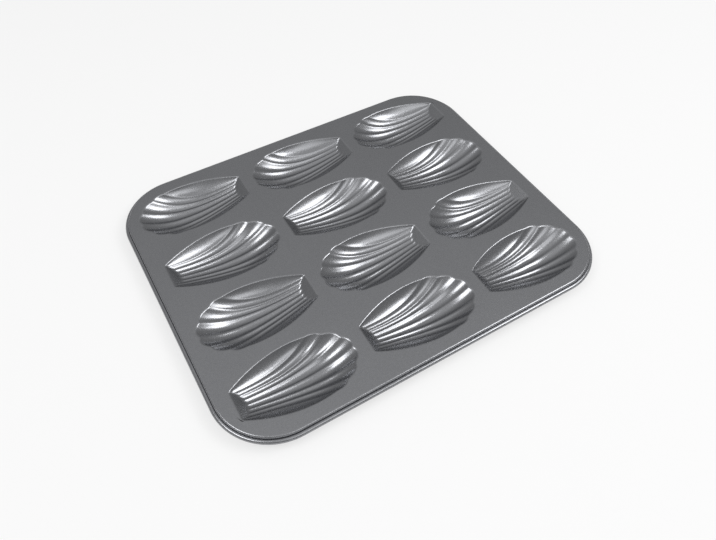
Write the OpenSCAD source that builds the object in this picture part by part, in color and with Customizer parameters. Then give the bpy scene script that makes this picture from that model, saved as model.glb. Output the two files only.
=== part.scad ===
// Madeleine pan: twelve fluted shell cups pressed into one steel sheet with a wired, rolled edge.
// Millimetres, +Z up. The origin is the middle of the pan on the surface that its cups stand on.
// +X runs along the shells, from narrow end to wide end in the second and fourth rows.

/* [Sheet] */
// Thickness of the steel sheet
sheet_t = 0.7; // [0.5:0.1:0.8]

/* [Shell cups] */
// Length of a cup's mouth, over its rounded lip
cup_l = 82; // [76:1:84]
// Width of a cup's mouth at its widest place, over the lip
cup_w = 47.4; // [44:0.2:50]
// Width of the straight narrow end, over the lip
end_w = 23; // [20:0.5:26]
// Depth of the cavity, from the deck to the bottom of the middle flutes
cup_depth = 12; // [11:0.2:14]
// Depth of a flute below the ridges beside it, at the widest place
flute_depth = 0.8; // [0.6:0.1:1.2]
// Radius of the lip between the deck and a cup
lip_r = 0.9; // [0.8:0.1:1.2]

/* [Cup pattern] */
// Flat deck left between the ends of cups in neighbouring columns
column_gap = 10; // [7:1:16]
// Flat deck left between the sides of cups in neighbouring rows
row_gap = 8.6; // [6:0.2:14]
// Flat deck left beyond the ends of the outer cups
end_margin = 11; // [10:0.5:16]
// Flat deck left beside the outer rows
side_margin = 9.3; // [8:0.1:14]

/* [Rolled edge] */
// Radius of the deck's corners
corner_r = 39.5; // [30:0.5:44]
// Outer radius of the bend from the deck to its edge wall
bend_r = 1.2; // [1:0.1:1.5]
// Height from the middle of the wire to the deck's top
rim_drop = 3.6; // [3.2:0.1:6]
// Diameter of the wire inside the rolled edge
wire_d = 2; // [1.6:0.1:2.4]

/* [Hidden] */
$fn = 64;
rows = 4;
columns = 3;

function cup_name(row, column) = str("shell_cup_row_", row, "_column_", column);
CUPS = [for (row = [1:rows]) for (column = [1:columns]) cup_name(row, column)];

deck_z = cup_depth + sheet_t;
column_pitch = cup_l + column_gap;
row_pitch = cup_w + row_gap;
deck_l = (columns - 1) * column_pitch + cup_l + 2 * end_margin;
deck_w = (rows - 1) * row_pitch + cup_w + 2 * side_margin;

// The mouth is the edge of the cavity at the inside of the rounded lip.
// Distances along a cup are measured from the mouth's narrow end.
mouth_l = cup_l - 2 * lip_r;
mouth_w = cup_w - 2 * lip_r;
mouth_end_w = end_w - 2 * lip_r;
widest_x = 0.565 * mouth_l;
side_curve = 1.95;

// Floor between the flutes, measured down from the foot of the rounded lip.
// It falls from the narrow end to its deepest place, and its section is nearly a parabola.
bottom_flat = 0.5;
floor_deep = cup_depth + bottom_flat - lip_r - flute_depth;
floor_end = 0.32 * floor_deep;
deepest_x = 0.5 * mouth_l;
floor_fall = 1.7;
end_section = 2.2;
deep_section = 2.3;
end_slope = tan(41);
end_flute = 0.3;
side_flute = 0.7;

// Places across a cup are counted in flutes from its middle line, where the first ridge runs.
// Three flutes on each side end at last_ridge, and one more along the side reaches the lip.
last_ridge = 3;
ridge_turns = [[0, 0], [1, 26], [2, 52], [3, 71]];
ridge_roots = [[0, 0], [1, 0.33], [2, 0.7], [3, 1]];
side_tail = 16;
corner_x = 1.6;
fan_start = 0.97;
scallop_start = 0.7;

// Mesh of a cup: steps across and along
flute_steps = 3;
long_steps = [0, 0.12, 0.28, 0.44, 0.55, 0.68, 0.8, 0.91, 1];
slope_step = 0.02;
foot_passes = 8;
foot_search = [0.01, 0.3];

function ease(t) = t * t * (3 - 2 * t);
function mix(a, b, t) = a + (b - a) * t;
function unit(v) = v / norm(v);

// Half width of the mouth beside the place x
function half_mouth(x) =
    mouth_w / 2 - (mouth_w - mouth_end_w) / 2 * pow(max(0, 1 - x / widest_x), side_curve);

// Point of the wide end's half ellipse, ang degrees from the cup's middle line
function wide_end(ang) = [mix(widest_x, mouth_l, cos(ang)), mouth_w / 2 * sin(ang)];

// Point of the mouth's side curve or wide end at the place x
function side_edge(x) = x < widest_x ? [x, half_mouth(x)] :
    wide_end(acos((x - widest_x) / (mouth_l - widest_x)));

// Plan of the line that runs along flute place a: t goes from the narrow end (0) to the lip (1)
function flute_line(a, t) = let (tip = wide_end(lookup(a, ridge_turns)))
    [t * tip.x, mix(lookup(a, ridge_roots) * mouth_end_w / 2, tip.y, ease(pow(t, fan_start)))];

function side_line(t) =
    side_edge(mix(corner_x, wide_end(lookup(last_ridge, ridge_turns) + side_tail).x, t));

// A flute is a parabola between two ridges, and the one along the side ends at the lip
function flute_bulge(a) = let (f = abs(a) - floor(abs(a)) - 0.5)
    (abs(a) > last_ridge ? side_flute : 1) * (1 - 4 * f * f);

function flute_size(x) = flute_depth * mix(end_flute, 1, min(1, x / widest_x));

// The wide end is scalloped: each flute goes on outwards until its own depth has run out
function scallop(a, t) = pow(max(0, t - scallop_start) / (1 - scallop_start), 2)
    * (pow(1 + flute_depth * flute_bulge(a) / floor_deep, 1 / deep_section) - 1);

function plan(a, t) = let (
    side = a < 0 ? -1 : 1,
    in = flute_line(min(abs(a), last_ridge), t),
    p = mix(in, side_line(t), max(0, abs(a) - last_ridge)),
    grow = 1 + scallop(a, t))
    [p.x > widest_x ? mix(widest_x, p.x, grow) : p.x, side * p.y * grow];

// How far the point p lies from the cup's middle (0) to its mouth (1)
function reach(p) = p.x < widest_x ? abs(p.y) / half_mouth(p.x) :
    norm([(p.x - widest_x) / (mouth_l - widest_x), p.y / (mouth_w / 2)]);

function floor_depth(p) = let (
    u = min(1, p.x / deepest_x),
    middle = mix(floor_deep, floor_end, pow(1 - u, floor_fall)))
    middle * (1 - pow(reach(p), mix(end_section, deep_section, u)));

// Unit normal of the floor, away from the cavity
function floor_normal(p) = let (
    across = [slope_step, 0],
    along = [0, slope_step],
    dx = (floor_depth(p + across) - floor_depth(p - across)) / (2 * slope_step),
    dy = (floor_depth(p + along) - floor_depth(p - along)) / (2 * slope_step))
    unit([-dx, -dy, -1]);

function cavity_point(a, t) = let (
    p = plan(a, t),
    depth = max(0, floor_depth(p) + flute_size(p.x) * flute_bulge(a)))
    [p.x, p.y, max(-lip_r - depth, -cup_depth)];

// Where a flute line leaves the sloping end wall, found by passes that halve its error
function wall_gap(a, t) = let (q = cavity_point(a, t)) -q.z - lip_r - q.x * end_slope;
function wall_foot(a, low, high, passes) = let (t = (low + high) / 2)
    passes == 0 ? t : wall_gap(a, t) > 0 ? wall_foot(a, t, high, passes - 1) :
    wall_foot(a, low, t, passes - 1);
function foot(a) =
    wall_foot(min(abs(a), last_ridge), foot_search[0], foot_search[1], foot_passes);

// The cup's surface at flute place a and step row: row 0 is the narrow lip, row 1 the foot of
// the end wall, and the last row the lip of the wide end
wall_normal = unit([-end_slope, 0, -1]);
across_count = 2 * (last_ridge + 1) * flute_steps + 1;
across_steps = [for (i = [0:across_count - 1]) i / flute_steps - last_ridge - 1];
row_count = len(long_steps) + 1;

function place(i, j) = mix(foot(across_steps[i]), 1, long_steps[j - 1]);
function narrow_lip(i) = let (p = plan(across_steps[i], 0)) [p.x, p.y, -lip_r];
function inner_point(i, j) = j == 0 ? narrow_lip(i) : cavity_point(across_steps[i], place(i, j));

// The outer skin is the inner one moved out by the sheet's thickness, with a flat to stand on
function outer_point(i, j) = let (
    p = inner_point(i, j),
    n = floor_normal(plan(across_steps[i], place(i, j))),
    out = j > 1 ? n : (n + wall_normal) / (1 + n * wall_normal))
    p.z <= -cup_depth ? [p.x, p.y, -deck_z] : p + sheet_t * out;

// Steps round the edge of the mesh, anticlockwise seen from above
edge_steps = concat(
    [for (j = [0:row_count - 2]) [0, j]],
    [for (i = [0:across_count - 2]) [i, row_count - 1]],
    [for (j = [row_count - 1:-1:1]) [across_count - 1, j]],
    [for (i = [across_count - 1:-1:1]) [i, 0]]);
edge_count = len(edge_steps);
edge_points = [for (s = edge_steps) inner_point(s[0], s[1])];

// Outline of the hole in the deck: the cup's edge moved out by the radius of the lip
hole_outline = [for (k = [0:edge_count - 1]) let (
    next = edge_points[(k + 1) % edge_count],
    last = edge_points[(k + edge_count - 1) % edge_count],
    out = unit([next.y - last.y, last.x - next.x]))
    [edge_points[k].x, edge_points[k].y] + lip_r * out];

function is_edge(i, j) = i == 0 || i == across_count - 1 || j == 0 || j == row_count - 1;
function edge_id(i, j) = [for (k = [0:edge_count - 1]) if (edge_steps[k] == [i, j]) k][0];

// A cell of a mesh as two triangles, its corners given clockwise seen from outside
function cell(a, b, c, d) = [[a, b, c], [a, c, d]];

// A cup is one closed mesh: inner skin, outer skin, and the lip that joins them at the deck
module cup_shell() {
    inner = [for (i = [0:across_count - 1]) for (j = [0:row_count - 1]) inner_point(i, j)];
    outer = [for (i = [1:across_count - 2]) for (j = [1:row_count - 2]) outer_point(i, j)];
    lip_top = [for (p = hole_outline) [p.x, p.y, 0]];
    lip_low = [for (p = hole_outline) [p.x, p.y, -sheet_t]];
    outer_at = len(inner);
    top_at = outer_at + len(outer);
    low_at = top_at + edge_count;

    function inner_id(i, j) = i * row_count + j;
    function outer_id(i, j) = is_edge(i, j) ? low_at + edge_id(i, j) :
        outer_at + (i - 1) * (row_count - 2) + j - 1;

    skins = [for (i = [0:across_count - 2]) for (j = [0:row_count - 2]) each concat(
        cell(inner_id(i, j), inner_id(i + 1, j), inner_id(i + 1, j + 1), inner_id(i, j + 1)),
        cell(outer_id(i, j), outer_id(i, j + 1), outer_id(i + 1, j + 1), outer_id(i + 1, j)))];
    lip = [for (k = [0:edge_count - 1]) let (
        m = (k + 1) % edge_count,
        here = inner_id(edge_steps[k][0], edge_steps[k][1]),
        next = inner_id(edge_steps[m][0], edge_steps[m][1])) each concat(
        cell(here, next, top_at + m, top_at + k),
        cell(top_at + k, top_at + m, low_at + m, low_at + k))];
    polyhedron(concat(inner, outer, lip_top, lip_low), concat(skins, lip), convexity = 6);
}

// Middle of a cup in the pan: row 1 lies at +Y. The shells of one row point the other way
// from those of the next, so that the wide ends of one row lie beside narrow ones.
function cup_middle(row, column) =
    [(column - (columns + 1) / 2) * column_pitch, ((rows + 1) / 2 - row) * row_pitch];

module at_cup(row, column) {
    translate(cup_middle(row, column)) rotate(row % 2 == 1 ? 180 : 0)
        translate([lip_r - cup_l / 2, 0]) children();
}

module rounded_plate(edge) {
    r = corner_r - edge;
    for (x = [-1, 1], y = [-1, 1])
        translate([x * (deck_l / 2 - corner_r), y * (deck_w / 2 - corner_r)]) circle(r);
    square([deck_l - 2 * corner_r, deck_w - 2 * edge], center = true);
    square([deck_l - 2 * edge, deck_w - 2 * corner_r], center = true);
}

// Carries a section round the deck's edge. In the section x is measured outwards from the
// edge wall's outer face, and y up from the deck's top.
module round_edge() {
    straight = [deck_l - 2 * corner_r, deck_w - 2 * corner_r];
    for (turn = [0:3]) {
        odd = turn % 2;
        far = (odd == 0 ? straight.x : straight.y) / 2;
        run = odd == 0 ? straight.y : straight.x;
        rotate(90 * turn) {
            translate([far, run / 2, deck_z]) rotate_extrude(angle = 90)
                translate([corner_r, 0]) children();
            translate([far + corner_r, run / 2, deck_z]) rotate([90, 0, 0])
                linear_extrude(run) children();
        }
    }
}

module wire_place() {
    translate([wire_d / 2, -rim_drop]) children();
}

// The deck bends down into a short wall, whose lower edge curls out and round the wire
module rim_section() {
    intersection() {
        translate([-bend_r, -bend_r]) difference() {
            circle(bend_r);
            circle(bend_r - sheet_t);
        }
        translate([-bend_r, -bend_r]) square(bend_r);
    }
    translate([-sheet_t, -rim_drop]) square([sheet_t, rim_drop - bend_r]);
    wire_place() difference() {
        circle(wire_d / 2 + sheet_t);
        circle(wire_d / 2);
    }
}

module deck() {
    color("dimgray") translate([0, 0, deck_z - sheet_t]) linear_extrude(sheet_t) difference() {
        rounded_plate(bend_r);
        for (row = [1:rows], column = [1:columns])
            at_cup(row, column) polygon(hole_outline);
    }
}

module rolled_rim() {
    color("slategray") round_edge() rim_section();
}

module rim_wire() {
    color("silver") round_edge() wire_place() circle(d = wire_d);
}

module shell_cup(row, column) {
    color("gray") translate([0, 0, deck_z]) at_cup(row, column) cup_shell();
}

deck();
rolled_rim();
rim_wire();
for (row = [1:rows], column = [1:columns])
    shell_cup(row, column);
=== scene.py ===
# %% [markdown]
# # A madeleine pan
#
# The real pan is one steel sheet, 0.7 mm thick, with a dark non-stick coating. A press forms
# twelve scalloped shell cups in it, and its edge is rolled round a steel wire. So everything
# that we see is one skin that bends many times, and the look of the pan comes from how that
# skin mirrors the room. The lesson therefore works out the skin as smooth mathematical
# surfaces, with far more points than a construction model needs.
#
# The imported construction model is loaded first. It is the fixed frame: it says where every
# cup is, how high the deck lies and how far the edge reaches.

import bmesh
import bpy
import numpy as np
from mathutils import Matrix, Vector


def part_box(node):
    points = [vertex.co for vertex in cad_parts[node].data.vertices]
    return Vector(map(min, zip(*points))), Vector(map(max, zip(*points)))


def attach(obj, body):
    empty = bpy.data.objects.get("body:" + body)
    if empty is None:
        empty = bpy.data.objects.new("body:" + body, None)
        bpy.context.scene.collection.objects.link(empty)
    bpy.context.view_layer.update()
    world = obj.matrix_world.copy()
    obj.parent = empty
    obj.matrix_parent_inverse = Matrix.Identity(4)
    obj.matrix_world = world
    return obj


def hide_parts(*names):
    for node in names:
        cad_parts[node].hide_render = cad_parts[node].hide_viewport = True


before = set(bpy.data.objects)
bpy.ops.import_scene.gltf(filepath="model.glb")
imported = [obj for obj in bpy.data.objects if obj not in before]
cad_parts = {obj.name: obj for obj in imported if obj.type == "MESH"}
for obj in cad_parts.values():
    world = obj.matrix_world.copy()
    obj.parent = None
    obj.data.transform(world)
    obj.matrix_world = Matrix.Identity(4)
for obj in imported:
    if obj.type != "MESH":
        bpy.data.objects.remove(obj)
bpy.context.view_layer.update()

# %% [markdown]
# ## Sizes
#
# The lengths below are those of the pressed sheet in millimetres, as a maker would write them
# on the drawing. Places are measured from the frame's boxes instead of typed again: the
# height of the deck is the top of the node `deck`, and the cups' middles follow from the
# pitch of their boxes. A mesh is worked out in millimetres and turned into metres when it is
# written.

# %% Named sizes
MM = 0.001

SHEET = 0.7
CUP_LENGTH = 82.0
CUP_WIDTH = 47.4
CUP_END_WIDTH = 23.0
CUP_DEPTH = 12.0
FLUTE_DEPTH = 1.3
LIP_WIDTH = 1.15
LIP_DROP = 0.55
CORNER = 39.5
BEND = 1.2
WIRE_DROP = 3.6
WIRE = 2.0
ROWS, COLUMNS = 4, 3


def box_mm(node):
    """Lowest and highest corner of a node, in millimetres."""
    low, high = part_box(node)
    return np.array(low) / MM, np.array(high) / MM


def cup_node(row, column):
    return f"shell_cup_row_{row}_column_{column}"


_, deck_high = box_mm("deck")
DECK_Z = deck_high[2]
DECK_HALF = deck_high[:2] + BEND
first, beside, below = (box_mm(cup_node(r, c))[0] for r, c in ((1, 1), (1, 2), (3, 1)))
COLUMN_PITCH = round(beside[0] - first[0], 3)
ROW_PITCH = round((first[1] - below[1]) / 2, 3)
print("deck at", DECK_Z, "half sizes", DECK_HALF, "pitch", COLUMN_PITCH, ROW_PITCH)

# %% [markdown]
# ## Writing a mesh
#
# Each surface arrives as whole arrays: a list of points and a list of faces. Several sheets
# of one piece share their seams, so equal points are merged, which closes the skin. Faces
# that meet at less than 40 degrees are shaded as one smooth skin, and sharper ones keep
# their crease.

# %% Mesh helpers
SMOOTH_ANGLE = np.radians(40)
MERGE = 2e-6


def grid_faces(rows, columns, start=0):
    """Quads between the points of a rows x columns grid whose columns run fastest."""
    corner = start + np.arange(rows - 1)[:, None] * columns + np.arange(columns - 1)
    quads = np.stack([corner, corner + columns, corner + columns + 1, corner + 1], -1)
    return quads.reshape(-1, 4)


def ring_faces(rings, count, start=0):
    """Quads between closed rings of count points each, one ring after the other."""
    ring = start + np.arange(rings - 1)[:, None] * count
    here, after = np.arange(count), (np.arange(count) + 1) % count
    quads = np.stack([ring + here, ring + after, ring + count + after, ring + count + here], -1)
    return quads.reshape(-1, 4)


def zip_faces(inner_turn, outer_turn, inner_start, outer_start):
    """Triangles between two closed loops, each given by the rising angle of its points.
    Every edge of one loop is joined to the point of the other loop that it has just passed."""
    inner, outer = len(inner_turn), len(outer_turn)
    inner_next = np.append(inner_turn[1:], inner_turn[0] + 2 * np.pi)
    outer_next = np.append(outer_turn[1:], outer_turn[0] + 2 * np.pi)
    far = (np.searchsorted(outer_next, inner_next, side="left")) % outer
    near = (np.searchsorted(inner_next, outer_next, side="right")) % inner
    i, j = np.arange(inner), np.arange(outer)
    first_set = np.stack([inner_start + i, outer_start + far, inner_start + (i + 1) % inner], -1)
    second_set = np.stack([outer_start + j, outer_start + (j + 1) % outer, inner_start + near], -1)
    return np.concatenate([first_set, second_set])


def make_piece(name, sheets):
    """One closed piece from sheets of (points in mm, faces). Equal points become one point,
    and the faces are turned so that they all look outwards."""
    points, faces, count = [], [], 0
    for sheet_points, sheet_faces in sheets:
        points.append(np.reshape(sheet_points, (-1, 3)))
        faces.extend((np.asarray(sheet_faces) + count).tolist())
        count += len(points[-1])
    mesh = bpy.data.meshes.new(name)
    mesh.from_pydata((np.concatenate(points) * MM).tolist(), [], faces)
    work = bmesh.new()
    work.from_mesh(mesh)
    bmesh.ops.remove_doubles(work, verts=work.verts, dist=MERGE)
    bmesh.ops.dissolve_degenerate(work, edges=work.edges, dist=MERGE / 2)
    bmesh.ops.recalc_face_normals(work, faces=work.faces)
    if work.calc_volume(signed=True) < 0:
        bmesh.ops.reverse_faces(work, faces=work.faces)
    open_edges = sum(not edge.is_manifold for edge in work.edges)
    volume = work.calc_volume()
    work.to_mesh(mesh)
    work.free()
    mesh.shade_smooth()
    mesh.set_sharp_from_angle(angle=SMOOTH_ANGLE)
    piece = bpy.data.objects.new(name, mesh)
    bpy.context.scene.collection.objects.link(piece)
    print(f"{name}: {len(mesh.polygons)} faces, {open_edges} open edges, {volume * 1e9:.0f} mm3")
    return piece


# %% [markdown]
# ## The shell cup
#
# A madeleine cup is a scallop shell in negative. Seen from above its mouth has a straight
# narrow end, sides that swell to the widest place, and a wide end that is half an ellipse.
# Seven crisp ridges fan out from the narrow end, one of them on the middle line. Between them
# lie six flutes, and one more flute runs along each side.
#
# It could be sculpted or cut from spheres, but then ridges and rim would never agree. A
# surface of two parameters keeps them together: *a* counts flutes across the cup, from 0 on
# the middle ridge to 3 on the last ridge and 4 at the side, and *t* runs along every flute
# from the narrow end to the lip. Depth, ridges, end wall and lip are formulas of *a* and *t*.
#
# `RIDGE_TURNS` says where each ridge meets the ellipse of the wide end, and `FAN_POWERS` how
# late it bends there. `STRAIGHT` is the share of its way sideways that it makes evenly.

# %% The mouth and its fan of flute lines
MOUTH_LENGTH = CUP_LENGTH - 2 * LIP_WIDTH
MOUTH_HALF = CUP_WIDTH / 2 - LIP_WIDTH
END_HALF = CUP_END_WIDTH / 2 - LIP_WIDTH
WIDEST = 0.565 * MOUTH_LENGTH
SIDE_CURVE = 1.95
LAST = 3
RIDGE_TURNS = np.radians([0, 26, 52, 71])
ROOT_HALF = 9.5
STRAIGHT = 0.45
FAN_POWERS = [1.6, 1.6, 3.2, 2.4]
SIDE_TURN = np.radians(87)
CORNER_X = 1.8
CORNER_FADE = 0.06


def half_mouth(x):
    """Half the width of the mouth at x: from the narrow end it swells by a power curve."""
    short = np.clip(1 - x / WIDEST, 0, 1)
    return MOUTH_HALF - (MOUTH_HALF - END_HALF) * short ** SIDE_CURVE


def wide_end(turn):
    """Point of the half ellipse that closes the mouth, at that angle from the middle line."""
    return WIDEST + (MOUTH_LENGTH - WIDEST) * np.cos(turn), MOUTH_HALF * np.sin(turn)


def side_edge(x):
    """Half width of the mouth along its side curve and on round the wide end."""
    c = np.clip((x - WIDEST) / (MOUTH_LENGTH - WIDEST), -1, 1)
    return np.where(x < WIDEST, half_mouth(x), MOUTH_HALF * np.sqrt(1 - c ** 2))


def reach(x, y):
    """How far a place lies from the cup's middle line (0) to its mouth (1)."""
    beside = np.abs(y) / half_mouth(x)
    beyond = np.hypot((x - WIDEST) / (MOUTH_LENGTH - WIDEST), y / MOUTH_HALF)
    return np.where(x < WIDEST, beside, beyond)


def fan(a, t):
    """Flute line a leaves its root at the narrow end nearly straight and bends to its tip on
    the ellipse by a power of t, the outer ones later. Past the last ridge it blends into the
    side curve, and a quadratic curve rounds the mouth's corner."""
    across = np.abs(a)
    inner = np.minimum(across, LAST)
    w = np.clip(across - LAST, 0, 1)
    tip_x, tip_y = wide_end(np.interp(inner, np.arange(LAST + 1), RIDGE_TURNS))
    root_y = inner / LAST * ROOT_HALF
    flute_x = t * tip_x
    power = np.interp(inner, np.arange(LAST + 1), FAN_POWERS)
    flute_y = root_y + (tip_y - root_y) * (STRAIGHT * t + (1 - STRAIGHT) * t ** power)
    edge_x = CORNER_X + (wide_end(SIDE_TURN)[0] - CORNER_X) * t
    round_off = w * (1 - w) * np.clip(1 - t / CORNER_FADE, 0, 1) ** 2
    x = flute_x + (edge_x - flute_x) * w - round_off * CORNER_X
    y = flute_y + (side_edge(edge_x) - flute_y) * w
    return x, y + round_off * (2 * END_HALF - ROOT_HALF - half_mouth(CORNER_X))


print("mouth", round(MOUTH_LENGTH, 2), "by", round(2 * MOUTH_HALF, 2), "ridges end at",
      np.round(np.stack(wide_end(RIDGE_TURNS), -1), 1).tolist())


# %% [markdown]
# The floor between the flutes is a bowl: along the cup it falls from the narrow end to the
# deepest place, and across the cup its section is nearly a parabola, so that no wall stands
# upright and the cake drops out. The flutes are parabolas too, laid under the bowl. Where a
# press closes, no edge is perfectly sharp, so the ridges get a small round crest, and the
# flat end wall meets the floor in a soft fold. At the wide end each flute goes on outwards
# until its own depth has run out, which scallops the lip. The lowest 0.25 mm of the bowl are
# cut off level, as `FLAT` says, so that the pan has small flats to stand on.

# %% Floor, flutes and end wall
FLAT = 0.25
FLOOR_DEEP = CUP_DEPTH + FLAT - LIP_DROP - FLUTE_DEPTH
FLOOR_END = 0.33 * FLOOR_DEEP
DEEPEST = 0.5 * MOUTH_LENGTH
FLOOR_FALL = 1.6
END_SECTION, DEEP_SECTION = 2.2, 2.3
END_ANGLE = np.radians(41)
END_FLUTE = 0.3
SIDE_FLUTE = 0.6
SIDE_FADE = 0.7
CREST = 0.12
FOLD = 0.8
FLAT_SOFT = 0.15
SCALLOP_START = 0.7


def floor_depth(x, y):
    """Depth of the bowl: a power curve along the cup, times 1 - reach ** p across it."""
    u = np.clip(x / DEEPEST, 0, 1)
    p = END_SECTION + (DEEP_SECTION - END_SECTION) * u
    middle = FLOOR_DEEP + (FLOOR_END - FLOOR_DEEP) * (1 - u) ** FLOOR_FALL
    return middle * (1 - np.clip(reach(x, y), 0, 2) ** p)


def flute_bulge(a, t):
    """A flute is a parabola between two ridges, 1 - 4 f ** 2, where f is 0 in its middle.
    Within CREST of a ridge a second parabola rounds it. The side flute ends at the lip and
    fades out towards its tip."""
    across = np.abs(a)
    f = np.abs(across - np.floor(across) - 0.5)
    join = 0.5 - CREST
    level, slope = 1 - 4 * join ** 2, 8 * join
    past = np.clip(f - join, 0, None)
    flute = np.where(f > join, level - slope * (past - past ** 2 / (2 * CREST)), 1 - 4 * f * f)
    crest = level - slope * CREST / 2
    w = np.clip(across - LAST, 0, 1)
    fade = 1 - np.clip((t - SIDE_FADE) / (1 - SIDE_FADE), 0, 1) ** 2
    side = crest * (1 - w) ** 2 + SIDE_FLUTE * 4 * w * (1 - w) * fade
    return np.where(across > LAST, side, flute)


def plan(a, t):
    """Seen from above: the fan of flute lines, stretched at the wide end to the place where
    the floor with its flute has come up to the mouth."""
    x, y = fan(a, t)
    run_out = (1 + FLUTE_DEPTH * flute_bulge(a, t) / FLOOR_DEEP) ** (1 / DEEP_SECTION)
    share = np.clip((t - SCALLOP_START) / (1 - SCALLOP_START), 0, 1) ** 2
    grow = 1 + share * (run_out / reach(*fan(a, np.ones_like(t))) - 1)
    x = np.where(x > WIDEST, WIDEST + (x - WIDEST) * grow, x)
    return x, np.sign(a) * y * grow


def soft_least(d, e, width):
    """The smaller of two depths, with a parabola in place of the corner where they cross."""
    near = np.clip(1 - np.abs(d - e) / width, 0, 1)
    return np.minimum(d, e) - width / 4 * near ** 2


def cavity(a, t):
    """Point of the skin on the cavity's side: bowl plus flute, cut by the sloping end wall
    and by the flat that the cup stands on."""
    x, y = plan(a, t)
    size = FLUTE_DEPTH * (END_FLUTE + (1 - END_FLUTE) * np.clip(x / WIDEST, 0, 1))
    depth = np.clip(floor_depth(x, y) + size * flute_bulge(a, t), 0, None)
    lip_x, _ = fan(a, np.zeros_like(t))
    wall = np.clip(x - lip_x, 0, None) * np.tan(END_ANGLE)
    fold = np.clip(np.minimum(FOLD, 2 * np.minimum(depth, wall)), 1e-6, None)
    depth = np.clip(soft_least(depth, wall, fold), 0, None)
    low = np.full_like(depth, CUP_DEPTH - LIP_DROP)
    return np.stack([x, y, -LIP_DROP - soft_least(depth, low, FLAT_SOFT)], -1)


def skin_normals(points):
    """Unit normals of a grid of points, out of the cavity, from the steps between points.
    Also gives how squarely the steps cross, because a normal is only sure where they do."""
    across, along = np.gradient(points, axis=0), np.gradient(points, axis=1)
    n = np.cross(across, along)
    size = np.maximum(np.linalg.norm(n, axis=-1, keepdims=True), 1e-12)
    square = size / (np.linalg.norm(across, axis=-1) * np.linalg.norm(along, axis=-1))[..., None]
    return n / size * np.where(n[..., 2:] > 0, -1, 1), square


# %% [markdown]
# The lip is where the sheet turns from the deck into the cup. It is a quadratic curve that
# leaves the cup's wall along the wall's own slope and lands level on the deck. A narrow ring
# of flat deck goes with the cup, so that the shading runs on across the joint. The slope is
# read from the normals of the grid. Where two grid lines meet at a flat angle their normal
# isn't sure, so there the slope is carried over from both sides.

# %% The lip
FLUTE_STEPS, SIDE_STEPS, ALONG_STEPS, LIP_STEPS = 14, 16, 128, 7
CROWDING, SIDE_CROWDING = 0.12, 1.4
STEEPEST, GENTLEST = np.radians(62), np.radians(30)
SQUARE_ENOUGH = 0.35
RING = 0.5
SMOOTHING = 4
UNDER_GAP = 0.05


def cup_grid():
    """The two parameters: equal steps in each flute, steps that shorten towards both lips."""
    middle = np.linspace(-LAST, LAST, 2 * LAST * FLUTE_STEPS + 1)
    side = LAST + 1 - (1 - np.linspace(0, 1, SIDE_STEPS + 1)[1:]) ** SIDE_CROWDING
    a = np.concatenate([-side[::-1], middle, side])
    u = np.linspace(0, 1, ALONG_STEPS + 1)
    return np.meshgrid(a, u - CROWDING * np.sin(2 * np.pi * u), indexing="ij")


def edge_loop(grid):
    """The border of a grid as one closed loop."""
    return np.concatenate([grid[0, :-1], grid[:-1, -1], grid[-1, :0:-1], grid[:0:-1, 0]])


def evened(values):
    """Each value of a closed loop becomes the mean of its neighbours."""
    turns = range(-SMOOTHING, SMOOTHING + 1)
    return sum(np.roll(values, k, 0) for k in turns) / len(turns)


def outward(loop):
    """Level unit normals of a closed loop, turned away from its middle."""
    n = np.roll(loop, -1, 0) - np.roll(loop, 1, 0)
    n = np.stack([n[:, 1], -n[:, 0]], -1)
    n = evened(n / (np.linalg.norm(n, axis=1, keepdims=True) + 1e-9))
    n *= np.sign(np.median(np.sum(n * (loop[:, :2] - loop[:, :2].mean(0)), 1)))
    return n / np.linalg.norm(n, axis=1, keepdims=True)


def curve(p0, p1, p2, steps):
    """Quadratic curve from p0 to p2 that heads for p1, as steps + 1 rings of points."""
    s = np.linspace(0, 1, steps + 1)[:, None, None]
    return (1 - s) ** 2 * p0 + 2 * s * (1 - s) * p1 + s * s * p2


A, T = cup_grid()
inner_skin = cavity(A, T)
normals, square = skin_normals(inner_skin)
outer_skin = inner_skin + SHEET * normals
mouth, under, wall_normal = (edge_loop(grid) for grid in (inner_skin, outer_skin, normals))
out = outward(mouth)
slope = np.arctan2(np.sum(wall_normal[:, :2] * out, 1), -wall_normal[:, 2])
sure = np.flatnonzero(edge_loop(square)[:, 0] > SQUARE_ENOUGH)
slope = np.interp(np.arange(len(mouth)), sure, slope[sure], period=len(mouth))
slope = evened(np.clip(slope, GENTLEST, STEEPEST))
rise_in = LIP_DROP / np.tan(slope)
lip_width = rise_in + LIP_DROP / np.sin(slope)
print("cup grid", A.shape, "mouth loop", len(mouth), "lip width", lip_width.min(), lip_width.max(),
      "slope", np.degrees(slope.min()), np.degrees(slope.max()))


def beside_mouth(away, z):
    """The mouth's loop moved out by away, at height z."""
    return np.concatenate([mouth[:, :2] + out * away[:, None], np.full((len(mouth), 1), z)], 1)


lip_top = beside_mouth(lip_width, 0.0)
lip_rings = curve(mouth, beside_mouth(rise_in, 0.0), lip_top, LIP_STEPS)
ring_top = beside_mouth(lip_width + RING, 0.0)
ring_low = beside_mouth(lip_width + RING, -SHEET)
under_away = np.sum((under[:, :2] - mouth[:, :2]) * out, 1) + (-SHEET - under[:, 2]) / np.tan(slope)
under_away = np.minimum(under_away, lip_width - UNDER_GAP)
under_rings = curve(under, beside_mouth(under_away, -SHEET),
                    beside_mouth(lip_width, -SHEET), LIP_STEPS)

# %% [markdown]
# One form serves all twelve cups. It is turned half round in the first and third rows, so the
# narrow ends of neighbouring rows point opposite ways and the cups pack closely.

# %% Twelve cups
def cup_place(row, column):
    """Middle of a cup and the way it points: the first and third rows are turned round."""
    x = (column - (COLUMNS + 1) / 2) * COLUMN_PITCH
    y = ((ROWS + 1) / 2 - row) * ROW_PITCH
    return x, y, -1 if row % 2 == 1 else 1


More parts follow.
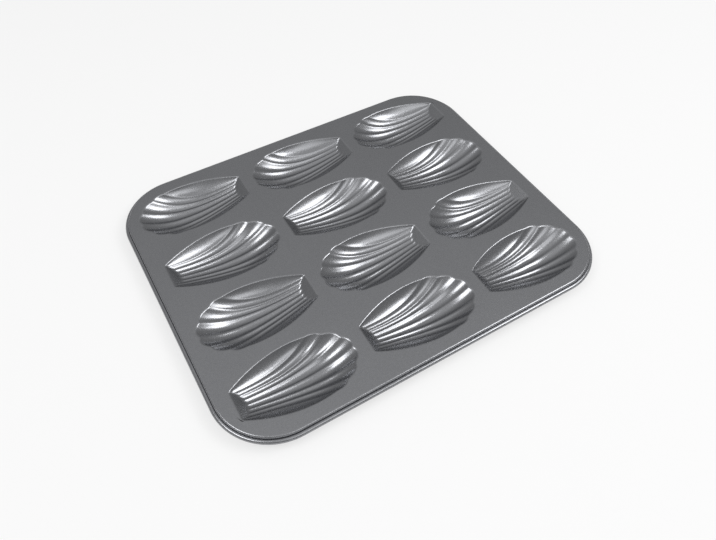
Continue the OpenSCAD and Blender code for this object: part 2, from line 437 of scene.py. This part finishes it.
def in_pan(points, row, column):
    """Points of the cup's own frame in the pan's frame."""
    x, y, way = cup_place(row, column)
    p = np.array(points, float).reshape(-1, 3)
    along = way * (p[:, 0] + LIP_WIDTH - CUP_LENGTH / 2) + x
    return np.stack([along, way * p[:, 1] + y, p[:, 2] + DECK_Z], -1)


def fluted_cup(row, column):
    rings = LIP_STEPS + 1
    steps = A.shape
    border = np.concatenate([lip_top, ring_top, ring_low, under_rings[-1]])
    return make_piece(f"fluted_cup_row_{row}_column_{column}", [
        (in_pan(inner_skin, row, column), grid_faces(*steps)),
        (in_pan(outer_skin, row, column), grid_faces(*steps)),
        (in_pan(lip_rings, row, column), ring_faces(rings, len(mouth))),
        (in_pan(under_rings, row, column), ring_faces(rings, len(mouth))),
        (in_pan(border, row, column), ring_faces(4, len(mouth))),
    ])


cups = {(r, c): fluted_cup(r, c) for r in range(1, ROWS + 1) for c in range(1, COLUMNS + 1)}

# %% [markdown]
# ## The deck
#
# The deck is what is left of the flat sheet: a plate with twelve shell-shaped holes. A plain
# boolean would do, but its long splinters shade badly. Instead every cup gets a rectangular
# cell, and triangles are zipped between the hole's loop and the cell's border. Neighbouring
# cells share the points of their borders, so they close up without a seam.

# %% Cells and border of the deck
CELL_STEP = 4.0
BORDER_RING = 0.6
CORNER_STEPS = 40
FIELD_HALF = np.array([COLUMNS * COLUMN_PITCH, ROWS * ROW_PITCH]) / 2
FIELD_CORNER = 36.0


def rectangle(half_x, half_y, step):
    """A rectangle's border, anticlockwise from its lower left corner, a point every step."""
    across = np.arange(-half_x, half_x - 1e-6, step)
    up = np.arange(-half_y, half_y - 1e-6, step)
    return np.concatenate([
        np.stack([across, np.full(len(across), -half_y)], -1),
        np.stack([np.full(len(up), half_x), up], -1),
        np.stack([-across, np.full(len(across), half_y)], -1),
        np.stack([np.full(len(up), -half_x), -up], -1)])


def rounded_rectangle(inset):
    """The deck's outline moved in by inset: four quarter circles joined by straight runs.
    Gives the points and their outward normals."""
    turn = np.linspace(0, np.pi / 2, CORNER_STEPS + 1)
    turns = np.concatenate([turn + k * np.pi / 2 for k in range(4)])
    way = np.repeat(np.array([[1, 1], [-1, 1], [-1, -1], [1, -1]]), CORNER_STEPS + 1, 0)
    normal = np.stack([np.cos(turns), np.sin(turns)], -1)
    return way * (DECK_HALF - CORNER) + (CORNER - inset) * normal, normal


def tucked(points):
    """Rounds the corners of the field of cells: beyond a corner's middle, each square shell
    round that middle becomes a quarter circle."""
    past = np.clip(np.abs(points) - (FIELD_HALF - FIELD_CORNER), 0, None)
    corner = past.min(1) > 0
    scale = np.where(corner, past.max(1) / np.maximum(np.hypot(*past.T), 1e-9), 1)
    return np.sign(points) * (np.abs(points) - past * (1 - scale)[:, None])


def turns_of(points):
    """Rising angles of a loop round the origin, and the loop turned to start with the least."""
    turn = np.arctan2(points[:, 1], points[:, 0])
    if np.mean(np.diff(turn) > 0) < 0.5:
        points, turn = points[::-1], turn[::-1]
    start = int(np.argmin(turn))
    points, turn = np.roll(points, -start, 0), np.roll(turn, -start)
    return points, np.maximum.accumulate(turn)


def flat_between(inner, outer, middle, z):
    """Level triangles between two loops round the same middle."""
    inner, inner_turn = turns_of(inner)
    outer, outer_turn = turns_of(outer)
    points = np.concatenate([inner, outer]) + middle
    faces = zip_faces(inner_turn, outer_turn, 0, len(inner))
    return np.concatenate([points, np.full((len(points), 1), z)], 1), faces


def wall_between(loop, z_top, z_low):
    """An upright band along a closed loop."""
    top, low = (np.concatenate([loop, np.full((len(loop), 1), z)], 1) for z in (z_top, z_low))
    return np.concatenate([top, low]), ring_faces(2, len(loop))


def pressed_deck():
    top, low = DECK_Z, DECK_Z - SHEET
    edge, _ = rounded_rectangle(BEND + BORDER_RING)
    field = tucked(rectangle(*FIELD_HALF, CELL_STEP))
    sheets = [flat_between(field, edge, 0, z) for z in (top, low)]
    sheets.append(wall_between(edge, top, low))
    cell = rectangle(COLUMN_PITCH / 2, ROW_PITCH / 2, CELL_STEP)
    for row, column in cups:
        x, y, _ = cup_place(row, column)
        hole = in_pan(ring_top, row, column)[:, :2]
        border = tucked(cell + (x, y)) - (x, y)
        sheets += [flat_between(hole - (x, y), border, (x, y), z) for z in (top, low)]
        sheets.append(wall_between(hole, top, low))
    return make_piece("pressed_deck", sheets)


deck = pressed_deck()

# %% [markdown]
# ## The rolled edge
#
# At the border the sheet bends down into a short wall, and a rolling tool curls its lower
# edge outwards and up round a steel wire. The curl nearly closes: its cut edge stops just
# short of the wall. One closed profile of the sheet, carried round the deck's outline, gives
# bend, wall, curl and cut edge at once.

# %% Profile and path of the rolled edge
CURL_START, CURL_END = np.pi, np.radians(480)
CURL_STEPS, BEND_STEPS = 40, 8


def arc(middle, radius, start, end, steps):
    """Points of an arc in the profile: x outwards, y up from the deck's top."""
    turn = np.linspace(start, end, steps + 1)
    return np.stack([middle[0] + radius * np.cos(turn), middle[1] + radius * np.sin(turn)], -1)


def edge_profile():
    """The sheet's section: over the bend, down the wall's outer face, round the wire, back
    along the curl's outside, up the wall's inner face and under the bend."""
    bend, wire = (-BEND, -BEND), (WIRE / 2, -WIRE_DROP)
    return np.concatenate([
        [(-BEND - BORDER_RING, 0.0)],
        arc(bend, BEND, np.pi / 2, 0, BEND_STEPS),
        arc(wire, WIRE / 2, CURL_START, CURL_END, CURL_STEPS),
        arc(wire, WIRE / 2 + SHEET, CURL_END, CURL_START, CURL_STEPS),
        arc(bend, BEND - SHEET, 0, np.pi / 2, BEND_STEPS),
        [(-BEND - BORDER_RING, -SHEET)]])


def rolled_edge():
    """Point = outline + normal * profile's x, at the deck's height + profile's y."""
    outline, normal = rounded_rectangle(0)
    profile = edge_profile()
    level = outline + profile[:, None, :1] * normal
    height = np.broadcast_to(DECK_Z + profile[:, 1:, None], level.shape[:2] + (1,))
    rings = np.concatenate([level, height], -1)
    rings = np.concatenate([rings, rings[:1]])
    return make_piece("rolled_edge", [(rings, ring_faces(len(rings), len(outline)))])


edge = rolled_edge()

# %% [markdown]
# ## Finishes
#
# The coating is a dark grey non-stick film with fine metal flakes, baked on the steel. It
# mirrors the room softly. It could be a plain glossy paint, but then the flutes would show
# white spots on black; a metal with a dull mirror spreads the light along each flute as the
# photograph shows. A node group gives the flakes, slow clouds of colour from the spraying and
# the tiny waves of the film. The bare wire uses the same group with other sizes.

# %% Node group for a metal film
def film_group():
    """Flakes are small cells of random brightness, clouds are a wide noise, and the surface
    height is a fine noise. All of them vary over the surface and leave as masks."""
    group = bpy.data.node_groups.new("metal_film", "ShaderNodeTree")
    face = group.interface
    for name, value in (("Flake Size", 0.0004), ("Cloud Size", 0.05), ("Wave Size", 0.0012)):
        socket = face.new_socket(name, in_out="INPUT", socket_type="NodeSocketFloat")
        socket.default_value = value
    face.new_socket("Vector", in_out="INPUT", socket_type="NodeSocketVector")
    for name in ("Flakes", "Clouds", "Height"):
        face.new_socket(name, in_out="OUTPUT", socket_type="NodeSocketFloat")
    nodes, link = group.nodes, group.links.new
    start, end = nodes.new("NodeGroupInput"), nodes.new("NodeGroupOutput")

    def scaled(size):
        """The vector divided by a size in metres."""
        node = nodes.new("ShaderNodeVectorMath")
        node.operation = "DIVIDE"
        both = nodes.new("ShaderNodeCombineXYZ")
        for k in range(3):
            link(start.outputs[size], both.inputs[k])
        link(start.outputs["Vector"], node.inputs[0])
        link(both.outputs[0], node.inputs[1])
        return node.outputs[0]

    flakes = nodes.new("ShaderNodeTexVoronoi")
    flakes.inputs["Scale"].default_value = 1.0
    link(scaled("Flake Size"), flakes.inputs["Vector"])
    pick = nodes.new("ShaderNodeSeparateColor")
    link(flakes.outputs["Color"], pick.inputs[0])
    link(pick.outputs[0], end.inputs["Flakes"])
    for size, name, detail in (("Cloud Size", "Clouds", 3.0), ("Wave Size", "Height", 2.0)):
        noise = nodes.new("ShaderNodeTexNoise")
        noise.inputs["Scale"].default_value = 1.0
        noise.inputs["Detail"].default_value = detail
        link(scaled(size), noise.inputs["Vector"])
        link(noise.outputs["Fac"], end.inputs[name])
    return group


FILM = film_group()
CLOUD_SHARE = 0.4
WAVE_HEIGHT = 0.05


def metal_film(name, dark, light, metallic, rough, bump, sizes):
    """Principled metal: flakes and clouds move its colour from dark to light and its
    roughness up and down, and the film's waves go into a small bump."""
    material = bpy.data.materials.new(name)
    material.use_nodes = True
    nodes, link = material.node_tree.nodes, material.node_tree.links.new
    shader = nodes["Principled BSDF"]
    place = nodes.new("ShaderNodeTexCoord")
    film = nodes.new("ShaderNodeGroup")
    film.node_tree = FILM
    for socket, size in zip(("Flake Size", "Cloud Size", "Wave Size"), sizes):
        film.inputs[socket].default_value = size * MM
    link(place.outputs["Object"], film.inputs["Vector"])
    mask = nodes.new("ShaderNodeMix")
    mask.inputs["Factor"].default_value = CLOUD_SHARE
    link(film.outputs["Flakes"], mask.inputs["A"])
    link(film.outputs["Clouds"], mask.inputs["B"])
    tint = nodes.new("ShaderNodeMix")
    tint.data_type = "RGBA"
    tint.inputs["A"].default_value = (*dark, 1)
    tint.inputs["B"].default_value = (*light, 1)
    link(mask.outputs["Result"], tint.inputs["Factor"])
    link(tint.outputs["Result"], shader.inputs["Base Color"])
    spread = nodes.new("ShaderNodeMapRange")
    spread.inputs["To Min"].default_value, spread.inputs["To Max"].default_value = rough
    link(mask.outputs["Result"], spread.inputs["Value"])
    link(spread.outputs["Result"], shader.inputs["Roughness"])
    wave = nodes.new("ShaderNodeBump")
    wave.inputs["Strength"].default_value = bump
    wave.inputs["Distance"].default_value = WAVE_HEIGHT * MM
    link(film.outputs["Height"], wave.inputs["Height"])
    link(wave.outputs["Normal"], shader.inputs["Normal"])
    shader.inputs["Metallic"].default_value = metallic
    return material


COATING = metal_film("nonstick_coating", (0.27, 0.274, 0.287), (0.34, 0.345, 0.36), 1.0,
                     (0.23, 0.3), 0.25, (0.4, 45, 1.5))
WIRE_STEEL = metal_film("drawn_wire", (0.42, 0.42, 0.42), (0.6, 0.6, 0.6), 1.0,
                        (0.3, 0.45), 0.3, (0.3, 20, 0.8))


def finish_piece(piece, material, slot, *nodes):
    """Gives a piece its finish and its body and hides the nodes that it stands for. The slot is not
    used.
    """
    piece.data.materials.clear()
    piece.data.materials.append(material)
    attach(piece, "root")
    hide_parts(*nodes)


for (row, column), cup in cups.items():
    finish_piece(cup, COATING, "nonstick_steel", cup_node(row, column))
finish_piece(deck, COATING, "nonstick_steel", "deck")
finish_piece(edge, COATING, "nonstick_steel", "rolled_rim")
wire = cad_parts["rim_wire"]
wire.data.materials.clear()
wire.data.materials.append(WIRE_STEEL)
print("finished with", COATING.name, "and", WIRE_STEEL.name)

# %% [markdown]
# ## Floor, light and camera
#
# The photograph shows the pan on a white ground with hardly any shadow. A polished sheet shows
# the room more than itself, so the lamps were placed by what the cups mirror: a slope that
# looks towards the front right or towards the left is white, and every other one is dark grey.
# That means two softboxes, half way up, and a weak third one at the front, in a room that is
# only dim and a little brighter overhead. The backdrop is white for the camera alone, as if it
# were lit from behind, and the ground is mostly white to it, which leaves a faint shadow.

# %% Floor and world
def white_for_camera(tree, lit, white, share, target):
    """Mixes a lit shader with a share of a white one that only camera rays see."""
    path = tree.nodes.new("ShaderNodeLightPath")
    amount = tree.nodes.new("ShaderNodeMath")
    amount.operation = "MULTIPLY"
    amount.inputs[1].default_value = share
    mix = tree.nodes.new("ShaderNodeMixShader")
    tree.links.new(path.outputs["Is Camera Ray"], amount.inputs[0])
    tree.links.new(amount.outputs[0], mix.inputs[0])
    tree.links.new(lit, mix.inputs[1])
    tree.links.new(white, mix.inputs[2])
    tree.links.new(mix.outputs[0], target)


def brighter_overhead(tree, strength):
    """A dim room whose light rises with the cube of a direction's height."""
    place = tree.nodes.new("ShaderNodeTexCoord")
    parts = tree.nodes.new("ShaderNodeSeparateXYZ")
    cube = tree.nodes.new("ShaderNodeMath")
    cube.operation = "POWER"
    cube.inputs[1].default_value = 3.0
    level = tree.nodes.new("ShaderNodeMapRange")
    level.inputs["To Min"].default_value, level.inputs["To Max"].default_value = ROOM_LEVELS
    tree.links.new(place.outputs["Generated"], parts.inputs[0])
    tree.links.new(parts.outputs["Z"], cube.inputs[0])
    tree.links.new(cube.outputs[0], level.inputs["Value"])
    tree.links.new(level.outputs["Result"], strength)


ROOM_LEVELS = 0.34, 0.72
GROUND_WHITE = 0.65
FLOOR_HALF = 3.0
floor_mesh = bpy.data.meshes.new("pale_floor")
floor_mesh.from_pydata([(-FLOOR_HALF, -FLOOR_HALF, 0), (FLOOR_HALF, -FLOOR_HALF, 0),
                        (FLOOR_HALF, FLOOR_HALF, 0), (-FLOOR_HALF, FLOOR_HALF, 0)],
                       [], [(0, 1, 2, 3)])
floor = bpy.data.objects.new("pale_floor", floor_mesh)
bpy.context.scene.collection.objects.link(floor)
pale = bpy.data.materials.new("pale_ground")
pale.use_nodes = True
ground = pale.node_tree.nodes["Principled BSDF"]
ground.inputs["Base Color"].default_value = (0.9, 0.9, 0.9, 1)
ground.inputs["Roughness"].default_value = 0.9
white_ground = pale.node_tree.nodes.new("ShaderNodeEmission")
white_for_camera(pale.node_tree, ground.outputs[0], white_ground.outputs[0], GROUND_WHITE,
                 pale.node_tree.nodes["Material Output"].inputs["Surface"])
floor_mesh.materials.append(pale)

world = bpy.data.worlds.new("studio")
bpy.context.scene.world = world
world.use_nodes = True
backdrop = world.node_tree.nodes["Background"]
backdrop.inputs["Color"].default_value = (1, 1, 1, 1)
brighter_overhead(world.node_tree, backdrop.inputs["Strength"])
seen = world.node_tree.nodes.new("ShaderNodeBackground")
seen.inputs["Color"].default_value = (1, 1, 1, 1)
white_for_camera(world.node_tree, backdrop.outputs[0], seen.outputs[0], 1.0,
                 world.node_tree.nodes["World Output"].inputs["Surface"])
print("floor", 2 * FLOOR_HALF, "m wide, room levels", ROOM_LEVELS)


# %% [markdown]
# The softboxes stand on a sphere round the pan. A lamp's brightness as a mirror shows it is
# its radiance, so each one is given by that, and its power is worked out from its area.

# %% Softboxes
LAMP_DISTANCE = 1.4


def softbox(name, azimuth, elevation, size, radiance):
    """A rectangular lamp aimed at the pan's middle. Azimuth turns from +Y, away from the camera's
    side, to +X. Power is radiance x pi x area."""
    az, el = np.radians([azimuth, elevation])
    toward = Vector((np.sin(az) * np.cos(el), np.cos(az) * np.cos(el), np.sin(el)))
    lamp = bpy.data.lights.new(name, "AREA")
    lamp.shape, lamp.size, lamp.size_y = "RECTANGLE", size[0], size[1]
    lamp.energy = radiance * np.pi * size[0] * size[1]
    holder = bpy.data.objects.new(name, lamp)
    holder.location = toward * LAMP_DISTANCE
    holder.rotation_euler = toward.to_track_quat("Z", "Y").to_euler()
    bpy.context.scene.collection.objects.link(holder)
    print(f"{name}: {lamp.energy:.1f} W from {azimuth}, {elevation} degrees")


softbox("front_right_softbox", 122, 50, (0.8, 0.55), 4.8)
softbox("left_softbox", -92, 55, (0.62, 0.45), 5.2)
softbox("front_fill_softbox", 176, 50, (0.6, 0.6), 1.2)

# %% [markdown]
# The camera was fitted to the photograph: the rounded rectangle of the pan and the grid of its
# cups fix where it stood, how it was turned and how long its lens was in pixels.

# %% Camera
EYE = Vector((-151.14, -255.79, DECK_Z + 342.61)) * MM
AIM = Vector((-17.12, -32.99, DECK_Z)) * MM
ROLL = np.radians(0.606)
FRAME_WIDTH = 716
FOCAL_PIXELS = 614.94

camera_data = bpy.data.cameras.new("photo_camera")
camera_data.sensor_width = 36.0
camera_data.lens = FOCAL_PIXELS / FRAME_WIDTH * camera_data.sensor_width
camera_data.clip_start = 0.01
ahead = (AIM - EYE).normalized()
right = ahead.cross(Vector((0, 0, 1))).normalized()
up = right.cross(ahead)
tilted_right = right * np.cos(ROLL) + up * np.sin(ROLL)
tilted_up = up * np.cos(ROLL) - right * np.sin(ROLL)
camera = bpy.data.objects.new("photo_camera", camera_data)
camera.matrix_world = Matrix.Translation(EYE) @ Matrix(
    (tilted_right, tilted_up, -ahead)).transposed().to_4x4()
bpy.context.scene.collection.objects.link(camera)
bpy.context.scene.camera = camera
bpy.context.scene.view_settings.view_transform = "Standard"
print("lens", camera_data.lens)
